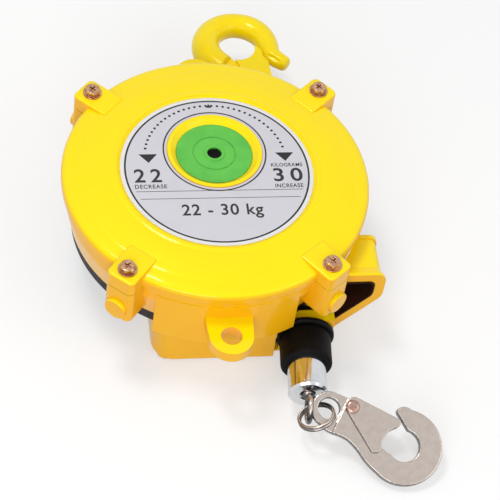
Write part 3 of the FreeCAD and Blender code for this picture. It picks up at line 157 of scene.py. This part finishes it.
class Finish:
    """A material with a Principled shader, and one method that adds any other node."""

    def __init__(self, name, roughness=0.4, metallic=0.0, coat=0.0, coat_roughness=0.1, specular=0.5):
        self.material = bpy.data.materials.new(name)
        self.material.use_nodes = True
        self.tree = self.material.node_tree
        self.shader = self.tree.nodes["Principled BSDF"]
        for socket, value in (("Roughness", roughness), ("Metallic", metallic), ("Coat Weight", coat),
                              ("Coat Roughness", coat_roughness), ("Specular IOR Level", specular)):
            self.shader.inputs[socket].default_value = value
        self.place = self.node("ShaderNodeTexCoord", output="Object")

    def node(self, kind, settings=(), output=0, **inputs):
        """Add a node. Settings are set first, then values and links.

        A socket is named with _ for a space, or by its number after an n where several share a name.
        """
        made = self.tree.nodes.new(kind)
        for key, value in dict(settings).items():
            setattr(made, key, value)
        for key, value in inputs.items():
            numbered = key[0] == "n" and key[1:].isdigit()
            socket = made.inputs[int(key[1:]) if numbered else key.replace("_", " ")]
            if isinstance(value, Wire):
                self.tree.links.new(value.socket, socket)
            else:
                socket.default_value = value
        return Wire(self.tree, made.outputs[output])

    def noise(self, size_mm, detail=3.0, roughness=0.55, place=None):
        """Cloudy noise from 0 to 1 whose blobs are about size_mm across."""
        return self.node("ShaderNodeTexNoise", Vector=place or self.place, Scale=1.0 / (size_mm * MM),
                         Detail=detail, Roughness=roughness)

    def soft_step(self, value, low, high):
        return self.node("ShaderNodeMapRange", {"interpolation_type": "SMOOTHSTEP"}, Value=value,
                         From_Min=low, From_Max=high)

    def mix(self, factor, first, second):
        """Colour between first, at factor 0, and second, at factor 1."""
        return self.node("ShaderNodeMix", {"data_type": "RGBA"}, output=2, n0=factor, n6=first, n7=second)

    def facing_up(self):
        """How squarely the surface faces the front of the balancer: 1 on its top, 0 on an upright wall."""
        normal = self.node("ShaderNodeTexCoord", output="Normal")
        made = self.tree.nodes.new("ShaderNodeSeparateXYZ")
        self.tree.links.new(normal.socket, made.inputs[0])
        return Wire(self.tree, made.outputs[2])

    def seen_directly(self):
        """1 for rays that show a surface, straight, in a mirror or through glass, and 0 for rays that carry light."""
        kinds = [self.node("ShaderNodeLightPath", output=kind)
                 for kind in ("Is Camera Ray", "Is Glossy Ray", "Is Transmission Ray")]
        return (kinds[0] + kinds[1] + kinds[2]).math("MINIMUM", 1.0)

    def coordinates_mm(self):
        """The place on the object as three wires, in millimetres."""
        made = self.tree.nodes.new("ShaderNodeSeparateXYZ")
        self.tree.links.new(self.place.socket, made.inputs[0])
        return [Wire(self.tree, output) / MM for output in made.outputs]

    def link(self, socket, wire):
        self.tree.links.new(wire.socket, self.shader.inputs[socket])

    def bump(self, height, depth_mm, strength=1.0):
        """Raise the surface by height, from 0 to 1, times depth_mm, with its edges slightly rounded."""
        edge = self.node("ShaderNodeBevel", {"samples": 4}, Radius=EDGE_RADIUS_MM * MM)
        made = self.node("ShaderNodeBump", Height=height, Distance=depth_mm * MM, Strength=strength, Normal=edge)
        self.link("Normal", made)


def srgb(red, green, blue):
    """Turn a colour picker's 0 to 255 into the linear values that a shader wants."""
    def linear(channel):
        c = channel / 255
        return c / 12.92 if c <= 0.04045 else ((c + 0.055) / 1.055) ** 2.4
    return (linear(red), linear(green), linear(blue), 1.0)


finishes = {}


# %% [markdown]
# ## Yellow enamel
#
# The castings are sprayed with a thick, glossy yellow enamel. Up close it has a faint orange peel. Upright walls are
# painted a deeper, more orange tone than the tops, as painted shade, so the colour follows how far the surface faces
# up. A broad noise varies the colour and a fine one makes the peel.

# %% Yellow enamel
def enamelled(name):
    """A glossy coat with orange peel, still without its colour."""
    made = Finish(name, coat=0.35, coat_roughness=0.07, specular=0.35)
    made.shader.inputs["Specular Tint"].default_value = srgb(255, 220, 70)
    made.link("Roughness", 0.28 + 0.12 * made.noise(9))
    made.bump(made.noise(2.6, detail=2.0) + 0.35 * made.noise(0.9, detail=1.0), 0.02)
    return made


enamel = enamelled("yellow_enamel")
facing_up = enamel.soft_step(enamel.facing_up(), 0.15, 0.85)
pooled = enamel.soft_step(enamel.noise(52), 0.3, 0.75) * 0.35
# Tops take the lit colour and walls the darker, more orange one: painted shade set by how the surface faces.
lit_top_colour = enamel.mix(pooled, srgb(254, 226, 6), srgb(252, 219, 4))
shaded_wall_colour = enamel.mix(pooled, srgb(250, 186, 16), srgb(245, 176, 14))
enamel.link("Base Color", enamel.mix(facing_up, shaded_wall_colour, lit_top_colour))
finishes["yellow_paint"] = enamel

hook_enamel = enamelled("hook_enamel")
hook_pooled = hook_enamel.soft_step(hook_enamel.noise(30), 0.3, 0.75)
hook_enamel.link("Base Color", hook_enamel.mix(hook_pooled, srgb(255, 229, 6), srgb(253, 221, 4)))

# %% [markdown]
# ## Green enamel and printed plate
#
# The green disc in the hub covers the spring's adjuster. The plate around it is thin aluminium printed in black. A
# print has sharp edges and no thickness, so it is drawn by formula from the place on the plate.

# %% Green enamel
green = Finish("green_enamel", coat=0.3, coat_roughness=0.2)
x, y, z = green.coordinates_mm()
HUB_Y = 16.0
radius = ((x * x) + (y - HUB_Y) * (y - HUB_Y)).math("SQRT")
faded = green.soft_step(green.noise(14), 0.3, 0.75)
green.link("Base Color", green.mix(faded, srgb(88, 190, 62), srgb(74, 176, 54)))
green.link("Roughness", 0.42 + 0.15 * green.noise(3))
green.bump(green.noise(1.2) * 0.5 + 0.5 * (radius * 3.0).math("SINE"), 0.03)
finishes["green_paint"] = green

# %% Printed plate
plate = Finish("printed_plate", metallic=0.15, roughness=0.38)
x, y, z = plate.coordinates_mm()
from_centre = (x * x + y * y).math("SQRT")
from_hub = (x * x + (y - HUB_Y) * (y - HUB_Y)).math("SQRT")
DIAL_Y, DIAL_RADIUS, DOT_RADIUS = 9.5, 46.0, 0.9
DOTS_IN_HALF_TURN = 38
DOT_STEP = math.pi / DOTS_IN_HALF_TURN
DOTS_FROM_Y = 18.0
from_dial = (x * x + (y - DIAL_Y) * (y - DIAL_Y)).math("SQRT")
turn = (y - DIAL_Y).math("ARCTAN2", x) / DOT_STEP
along = (turn.math("FRACT") - 0.5) * (DOT_STEP * DIAL_RADIUS)
across = from_dial - DIAL_RADIUS
dots = ((along * along + across * across) < DOT_RADIUS ** 2) * (y > DOTS_FROM_Y)


def ring(distance, radius_mm, half_width):
    return (distance - radius_mm).math("ABSOLUTE") < half_width


OUTER_RING, HUB_RING, BORDER_RADIUS = 59.5, 33.4, 60.0
ink = ring(from_centre, OUTER_RING, 0.6).math("MAXIMUM", ring(from_hub, HUB_RING, 0.5)).math("MAXIMUM", dots)
ARROW_X, ARROW_TIP_Y, ARROW_HEIGHT, ARROW_SLOPE = 44.6, 6.6, 7.4, 0.82
arrow_height = y - ARROW_TIP_Y
ARROW_SHIFT = 0.8
from_arrow = ((x - ARROW_SHIFT).math("ABSOLUTE") - ARROW_X).math("ABSOLUTE")
arrow = (from_arrow < arrow_height * ARROW_SLOPE) * (arrow_height < ARROW_HEIGHT)
TICK_TIP_Y, TICK_SLOPE, TICK_HEIGHT = 57.2, 0.55, 3.4
tick_height = y - TICK_TIP_Y
tick = (x.math("ABSOLUTE") < tick_height * -TICK_SLOPE) * (tick_height > -TICK_HEIGHT)
ink = ink.math("MAXIMUM", arrow).math("MAXIMUM", tick)
LINE_HALF_WIDTH, LINE_REACH = 0.22, 56.5
for line_y in (-17.4, -23.6):
    line = (y - line_y).math("ABSOLUTE") < LINE_HALF_WIDTH
    ink = ink.math("MAXIMUM", line * (from_centre < LINE_REACH))
border = from_centre > BORDER_RADIUS
silver = plate.mix(border, srgb(203, 201, 208), srgb(222, 222, 222))
rubbed = plate.mix(plate.soft_step(plate.noise(16), 0.45, 0.8) * 0.25, silver, srgb(186, 184, 192))
plate.link("Base Color", plate.mix(ink, rubbed, srgb(14, 14, 16)))
plate.link("Roughness", 0.36 + 0.14 * plate.noise(5))
plate.bump(plate.noise(0.7) * 0.6 - ink * 0.4, 0.012)
finishes["plate_print"] = plate

# %% [markdown]
# ## Metals
#
# Bright parts differ in how they were made: chrome is smooth, zinc is slightly cloudy, and turned steel keeps fine
# marks from the tool. One function makes them all from a colour, a roughness and the size of their marks. On the satin
# nickel of the hook, the sides and edges are painted dark grey by how they face, as painted shade, and its broad faces
# keep the bright colour.

# %% Metals
def metal(name, colour, second_colour, roughness, mark_mm, mark_depth_mm, cloud_mm=7.0):
    """A bare or plated metal: cloud_mm is the size of its tarnish, mark_mm and mark_depth_mm of its marks."""
    made = Finish(name, metallic=1.0, roughness=roughness)
    cloud = made.soft_step(made.noise(cloud_mm), 0.3, 0.75)
    made.link("Base Color", made.mix(cloud, colour, second_colour))
    made.link("Roughness", roughness + 0.10 * made.noise(cloud_mm * 0.4) - 0.05)
    made.bump(made.noise(mark_mm, detail=2.0), mark_depth_mm)
    return made


finishes["chrome"] = metal("chrome_plate", srgb(214, 216, 219), srgb(204, 207, 211), 0.14, 1.4, 0.004)
nickel = metal("satin_nickel", srgb(192, 181, 173), srgb(184, 173, 165), 0.22, 0.8, 0.008, 4.0)
worn = nickel.mix(nickel.soft_step(nickel.noise(4), 0.3, 0.75), srgb(192, 181, 173), srgb(184, 173, 165))
# The hook's sides and edges get a dark grey by how far they turn from facing up or down: painted shade.
broad_face = nickel.soft_step(nickel.facing_up().math("ABSOLUTE"), 0.45, 0.9)
nickel.link("Base Color", nickel.mix(broad_face, srgb(92, 90, 92), worn))
finishes["hook_zinc"] = nickel
finishes["yellow_zinc"] = metal("yellow_zinc", srgb(206, 168, 134), srgb(172, 122, 92), 0.20, 0.7, 0.012, 2.0)
finishes["machined_steel"] = metal("turned_steel", srgb(176, 177, 178), srgb(158, 160, 162), 0.30, 0.5, 0.01)
finishes["bearing_steel"] = metal("ground_steel", srgb(200, 202, 205), srgb(190, 192, 195), 0.16, 0.6, 0.004)
finishes["black_oxide"] = metal("black_oxide", srgb(62, 62, 64), srgb(48, 48, 50), 0.42, 0.6, 0.012)
finishes["cast_aluminium"] = metal("cast_aluminium", srgb(190, 191, 193), srgb(172, 173, 176), 0.46, 1.0, 0.05)
finishes["spring_steel"] = metal("blued_spring_steel", srgb(86, 90, 104), srgb(70, 72, 82), 0.30, 0.9, 0.01)
finishes["copper_rivet"] = metal("copper_rivet", srgb(178, 148, 136), srgb(150, 118, 106), 0.26, 0.6, 0.02, 2.0)
finishes["ferrule_copper"] = metal("ferrule_copper", srgb(190, 124, 84), srgb(170, 108, 74), 0.36, 0.8, 0.02)
finishes["wire_rope"] = metal("steel_wire", srgb(178, 180, 182), srgb(120, 122, 124), 0.34, 0.5, 0.03, 1.5)


# %% [markdown]
# ## Dark castings, rubber and plastic
#
# The rear casting, the gasket, the guide and the bumper are dull and nearly black, and a coarser or finer grain tells
# them apart. They reflect little, so their shine is turned down.

# %% Dark finishes
def dull(name, colour, second_colour, roughness, grain_mm, grain_depth_mm):
    """A dull, grainy surface: grain_mm is the size of the grain and grain_depth_mm its depth."""
    made = Finish(name, roughness=roughness, specular=0.1)
    made.link("Base Color", made.mix(made.soft_step(made.noise(12), 0.3, 0.75), colour, second_colour))
    made.link("Roughness", roughness + 0.14 * made.noise(4) - 0.07)
    made.bump(made.noise(grain_mm, detail=3.0), grain_depth_mm)
    return made


finishes["dark_cast"] = dull("dark_casting", srgb(66, 63, 64), srgb(52, 50, 52), 0.52, 1.1, 0.08)
finishes["gasket_fibre"] = dull("gasket_fibre", srgb(40, 38, 36), srgb(30, 29, 28), 0.8, 0.4, 0.03)
finishes["black_plastic"] = dull("black_nylon", srgb(14, 13, 13), srgb(20, 19, 19), 0.5, 0.5, 0.015)
# The liner's dark brown is painted shade: the tone of the yellow enamel in the shade inside the rope's mouth.
finishes["liner_rubber"] = dull("liner_rubber", srgb(56, 30, 22), srgb(40, 22, 17), 0.6, 0.5, 0.02)
finishes["bumper_rubber"] = dull("bumper_rubber", srgb(8, 6, 6), srgb(13, 11, 11), 0.6, 0.6, 0.02)

# %% [markdown]
# ## Dressing the solids
#
# The record says which finish each node takes. Three nodes differ from their neighbours of the same finish: the top
# hook and its latch take the enamel's bright colour all over, without the painted wall shade of the castings, and the
# tension shaft is painted near-black, as painted shade for the socket in the hub.

# %% Dress every CAD node
# The tension shaft's near-black is painted shade for the socket in the hub's centre.
shaft_painted_shade = metal("dark_shaft_painted_shade", srgb(30, 28, 30), srgb(20, 19, 21), 0.35, 0.5, 0.01)
special = {"upper_hook": hook_enamel, "hook_latch": hook_enamel, "tension_shaft": shaft_painted_shade}
slot_of = {part["node"]: part["material_slot"] for part in frame["record"]["subparts"]}
for name, piece in nodes.items():
    piece.data.materials.clear()
    piece.data.materials.append(special.get(name, finishes[slot_of[name]]).material)
print("finishes:", len(finishes))


# %% [markdown]
# ## Lettering
#
# The plate's figures are the load range that the adjuster covers. Text is a curve in Blender, so each word is made a
# mesh, stretched to its height and width, and laid just proud of the plate as printing ink is.

# %% Lettering
def deselect():
    bpy.ops.object.select_all(action="DESELECT")


def settle(piece):
    """Write the piece's place and turn into its mesh, so that its object sits at the origin."""
    deselect()
    piece.select_set(True)
    bpy.context.view_layer.objects.active = piece
    bpy.ops.object.transform_apply(location=True, rotation=True, scale=True)
    return piece


ink_finish = Finish("black_ink", roughness=0.45)
ink_finish.link("Base Color", ink_finish.mix(ink_finish.noise(3), srgb(12, 12, 14), srgb(22, 22, 24)))
ink_finish.link("Roughness", 0.40 + 0.12 * ink_finish.noise(2))
PLATE_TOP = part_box("name_plate")[1].z
PROUD_MM = 0.04
BOLDER = 0.016


def words(name, text, x_mm, y_mm, height_mm, width_mm, tracking):
    """Text centred at x_mm, y_mm on the plate, height_mm tall, width_mm wide and spaced out by tracking."""
    deselect()
    bpy.ops.object.text_add(location=(0, 0, 0))
    made = bpy.context.object
    made.name = name
    made.data.body = text
    made.data.align_x = "CENTER"
    made.data.align_y = "CENTER"
    made.data.offset = BOLDER
    made.data.space_character = tracking
    bpy.ops.object.convert(target="MESH")
    made = bpy.context.object
    low = [min(v.co[k] for v in made.data.vertices) for k in range(2)]
    high = [max(v.co[k] for v in made.data.vertices) for k in range(2)]
    made.scale = (width_mm * MM / (high[0] - low[0]), height_mm * MM / (high[1] - low[1]), 1)
    made.location = (x_mm * MM - made.scale.x * (high[0] + low[0]) / 2,
                     y_mm * MM - made.scale.y * (high[1] + low[1]) / 2, PLATE_TOP + PROUD_MM * MM)
    settle(made)
    made.data.materials.clear()
    made.data.materials.append(ink_finish.material)
    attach(made, "casing")


for name, text, x_mm, y_mm, height, width, tracking in (
    ("figure_low", "22", -45.3, -4.2, 11.2, 17.6, 1.4),
    ("figure_high", "30", 45.6, -5.0, 11.2, 19.0, 1.4),
    ("word_decrease", "DECREASE", -44.0, -13.3, 3.3, 20.5, 1.1),
    ("word_increase", "INCREASE", 45.3, -14.2, 3.3, 18.2, 1.1),
    ("word_kilograms", "KILOGRAMS", 45.8, 3.4, 3.0, 20.5, 1.1),
    ("word_range", "22 - 30 kg", 0.0, -34.5, 12.0, 52.0, 1.1),
):
    words(name, text, x_mm, y_mm, height, width, tracking)

# %% [markdown]
# ## The wire rope's lead
#
# The rope is six strands laid round a core. Only its last stretch, the lead from the drum to the bumper, is drawn; in
# use it grows as the drum turns. A lobed outline, screwed along the rope's line, gives the strands.

# %% Rope
ROPE_RADIUS = 2.35
STRANDS = 6
GROOVE_DEPTH = 0.14
LAY_MM = 30.0
STEPS = 96
DRUM_RADIUS = 64.0
ROPE_Z = 20.0
END_GAP_MM = 0.3
yaw = math.radians(5.0)
rope_direction = Vector((-math.sin(yaw), -math.cos(yaw), 0))
rope_start = Vector((DRUM_RADIUS * math.cos(yaw), HUB_Y - DRUM_RADIUS * math.sin(yaw), ROPE_Z)) * MM
lead_low, lead_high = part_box("rope_lead")
lead_length = (lead_high.y - lead_low.y) / math.cos(yaw) - END_GAP_MM * MM
deselect()
bpy.ops.mesh.primitive_circle_add(vertices=48, radius=ROPE_RADIUS * MM, fill_type="NGON", location=(0, 0, 0))
rope = bpy.context.object
rope.name = "rope_strands"
for vertex in rope.data.vertices:
    angle = math.atan2(vertex.co.y, vertex.co.x)
    lobe = 1 - GROOVE_DEPTH + GROOVE_DEPTH * abs(math.cos(angle * STRANDS / 2)) ** 0.6
    vertex.co.xy *= lobe
twist = -2 * math.pi * lead_length / (LAY_MM * MM) / STEPS
bpy.ops.object.mode_set(mode="EDIT")
bpy.ops.mesh.select_all(action="SELECT")
for _ in range(STEPS):
    bpy.ops.mesh.extrude_region_move(TRANSFORM_OT_translate={"value": (0, 0, lead_length / STEPS)})
    bpy.ops.transform.rotate(value=twist, orient_axis="Z", center_override=(0, 0, 0))
bpy.ops.mesh.select_all(action="SELECT")
bpy.ops.mesh.normals_make_consistent(inside=False)
bpy.ops.object.mode_set(mode="OBJECT")
along_rope = rope_direction.to_track_quat("Z", "Y").to_matrix().to_4x4()
rope.matrix_world = Matrix.Translation(rope_start + rope_direction * END_GAP_MM * MM) @ along_rope
settle(rope)
deselect()
rope.select_set(True)
bpy.ops.object.shade_smooth()
rope.data.materials.append(finishes["wire_rope"].material)
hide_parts("rope_lead")
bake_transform(rope)

# %% [markdown]
# ## The front cover's pressed steps
#
# The cover is a shallow pressing: a narrow land round the plate, a cone, then a flatter band that rolls over at the
# rim. The CAD dome is one smooth arc. This thin skin lies on it and gives the pressing its two creases, which catch
# the light as fine bright lines. Its outline is drawn once, then spun about the casing's axis.

# %% Spinning an outline
def spun(name, outline_mm, steps):
    """A closed ring: outline_mm holds radius and height pairs, in order, spun about the Z axis."""
    deselect()
    bpy.ops.mesh.primitive_circle_add(vertices=len(outline_mm), radius=1.0, fill_type="NOTHING", location=(0, 0, 0))
    made = bpy.context.object
    made.name = name
    for vertex, (radius_mm, height_mm) in zip(made.data.vertices, outline_mm):
        vertex.co = Vector((radius_mm, 0, height_mm)) * MM
    bpy.ops.object.mode_set(mode="EDIT")
    bpy.ops.mesh.select_all(action="SELECT")
    bpy.ops.mesh.spin(steps=steps, angle=2 * math.pi, center=(0, 0, 0), axis=(0, 0, 1))
    bpy.ops.mesh.select_all(action="SELECT")
    bpy.ops.mesh.remove_doubles(threshold=0.00001)
    bpy.ops.mesh.normals_make_consistent(inside=False)
    bpy.ops.object.mode_set(mode="OBJECT")
    bpy.ops.object.shade_smooth_by_angle(angle=math.radians(35))
    return made


# %% Cover skin
cover_skin = spun("cover_skin", (
    (64.3, 90.9), (64.6, 91.4), (65.0, 91.5), (66.7, 91.5), (67.2, 91.4), (67.9, 91.1), (68.5, 90.95),
    (74.0, 90.32), (80.0, 89.62), (88.3, 88.42), (88.8, 88.3), (89.5, 88.0), (90.2, 87.88), (93.5, 87.4),
    (96.6, 86.8), (97.8, 86.4), (98.8, 85.7), (99.5, 84.8), (99.75, 84.0), (99.2, 83.4), (90.0, 86.6), (70.0, 90.2),
), 240)
cover_skin.data.materials.append(enamel.material)
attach(cover_skin, "casing")
print("cover skin triangles:", 2 * len(cover_skin.data.polygons))

# %% [markdown]
# ## Forged and cast hooks
#
# Forgings have no sharp edges: the die rounds them and tumbling softens them further. Each hook's CAD mesh is copied,
# its loose triangles are merged, and it is rebuilt from small even facets that a smoothing pass can round.

# %% Copies of CAD nodes
def merged_copy(node, name):
    """A copy of a CAD node with its loose triangles joined, in its place."""
    source = nodes[node]
    deselect()
    source.select_set(True)
    bpy.context.view_layer.objects.active = source
    bpy.ops.object.duplicate()
    made = bpy.context.object
    made.name = name
    bpy.ops.object.parent_clear(type="CLEAR_KEEP_TRANSFORM")
    settle(made)
    bpy.ops.object.mode_set(mode="EDIT")
    bpy.ops.mesh.select_all(action="SELECT")
    bpy.ops.mesh.remove_doubles(threshold=0.000002)
    bpy.ops.object.mode_set(mode="OBJECT")
    made.data.materials.clear()
    made.data.materials.append(special.get(node, finishes[slot_of[node]]).material)
    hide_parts(node)
    return made


def softened(node, facet_mm, passes, body):
    """A copy of a CAD node with rounded edges that moves with its body."""
    made = merged_copy(node, "soft_" + node)
    remesh = made.modifiers.new("facets", "REMESH")
    remesh.mode = "VOXEL"
    remesh.voxel_size = facet_mm * MM
    remesh.use_smooth_shade = True
    bpy.ops.object.modifier_apply(modifier="facets")
    smooth = made.modifiers.new("rounding", "SMOOTH")
    smooth.factor = 0.5
    smooth.iterations = passes
    bpy.ops.object.modifier_apply(modifier="rounding")
    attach(made, body)
    print(made.name, "triangles:", 2 * len(made.data.polygons))


softened("snap_hook", 0.42, 10, "snap_hook")
softened("snap_gate", 0.3, 6, "gate")
softened("upper_hook", 0.55, 14, "top_hook")

# %% [markdown]
# ## The gate's spring
#
# The spring's coil sits round the rivet in the hook, and its leg pushes on the gate; when the gate opens the leg turns
# with it. The script copies the spring with its loose triangles joined, finds the end of its leg as the point farthest
# from the hinge, and writes its place into its mesh.

# %% Gate spring
gate_hinge = next(joint for joint in frame["record"]["behaviour"]["joints"] if joint["name"] == "gate_hinge")
pivot = Vector(gate_hinge["pos_m"])
gate_spring = merged_copy("gate_spring", "bent_gate_spring")
leg_end = max((vertex.co for vertex in gate_spring.data.vertices), key=lambda place: (place - pivot).length)
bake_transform(gate_spring)

# %% [markdown]
# ## Floor, light and camera
#
# The part lies on white paper. What the camera and the mirrors see of the paper and of the studio round it is white,
# while the light that they throw on the part is weaker, so that walls keep their shade. A small lamp overhead draws
# the highlights, and two broad ones lift the sides.

# %% Floor
deselect()
bpy.ops.mesh.primitive_plane_add(size=6.0, location=(0, 0, cad_low.z - 0.0002))
floor = bpy.context.object
floor.name = "floor"
paper = Finish("white_paper", roughness=0.7, specular=0.1)
seen = paper.seen_directly()
shade = paper.noise(60) * 0.02
tone = paper.mix(seen, (0.60, 0.60, 0.60, 1), (0.95, 0.95, 0.95, 1))
paper.link("Base Color", paper.mix(shade, tone, (0.8, 0.8, 0.8, 1)))
tree = paper.tree
glow = tree.nodes.new("ShaderNodeEmission")
mixer = tree.nodes.new("ShaderNodeMixShader")
tree.links.new((seen * 0.5).socket, mixer.inputs[0])
tree.links.new(paper.shader.outputs[0], mixer.inputs[1])
tree.links.new(glow.outputs[0], mixer.inputs[2])
tree.links.new(mixer.outputs[0], tree.nodes["Material Output"].inputs[0])
floor.data.materials.append(paper.material)

# %% World
world = bpy.context.scene.world or bpy.data.worlds.new("studio")
bpy.context.scene.world = world
world.use_nodes = True
tree = world.node_tree
tree.nodes.clear()
output = tree.nodes.new("ShaderNodeOutputWorld")
soft = tree.nodes.new("ShaderNodeBackground")
soft.inputs[0].default_value = (1, 1, 1, 1)
soft.inputs[1].default_value = 0.5
white = tree.nodes.new("ShaderNodeBackground")
white.inputs[0].default_value = (1, 1, 1, 1)
white.inputs[1].default_value = 1.0
path = tree.nodes.new("ShaderNodeLightPath")
choose = tree.nodes.new("ShaderNodeMixShader")
straight = Wire(tree, path.outputs["Is Camera Ray"]) + Wire(tree, path.outputs["Is Glossy Ray"])
straight = (straight + Wire(tree, path.outputs["Is Transmission Ray"])).math("MINIMUM", 1.0)
tree.links.new(straight.socket, choose.inputs[0])
tree.links.new(soft.outputs[0], choose.inputs[1])
tree.links.new(white.outputs[0], choose.inputs[2])
tree.links.new(choose.outputs[0], output.inputs[0])


# %% Lamps
def lamp(name, place, aim, size, watts):
    deselect()
    bpy.ops.object.light_add(type="AREA", location=place)
    made = bpy.context.object
    made.name = name
    made.data.shape = "SQUARE"
    made.data.size = size
    made.data.energy = watts
    made.rotation_mode = "QUATERNION"
    made.rotation_quaternion = (Vector(aim) - Vector(place)).to_track_quat("-Z", "Y")
    return made


middle = (cad_low + cad_high) / 2
lamp("key", (-0.35, 0.15, 1.35), middle, 0.32, 6.3)
lamp("fill", (0.9, -0.7, 0.9), middle, 0.9, 3.0)
lamp("front", (-0.4, -1.2, 0.7), middle, 0.8, 7.5)

# %% [markdown]
# The camera looks down on the front cover from the rope's end, through a long lens that keeps the round casing round.

# %% Camera
deselect()
bpy.ops.object.camera_add()
camera = bpy.context.object
camera.data.sensor_width = 36.0
camera.data.lens = 144.0
camera.data.clip_end = 20.0
right = Vector((0.98697, -0.11590, 0.11157))
up = Vector((0.02188, 0.78377, 0.62063))
back = right.cross(up).normalized()
up = back.cross(right).normalized()
place = Vector((-185.5, -828.3, 1059.7)) * MM
camera.matrix_world = Matrix((
    (right.x, up.x, back.x, place.x),
    (right.y, up.y, back.y, place.y),
    (right.z, up.z, back.z, place.z),
    (0, 0, 0, 1),
))
bpy.context.scene.camera = camera
bpy.context.scene.view_settings.view_transform = "Standard"
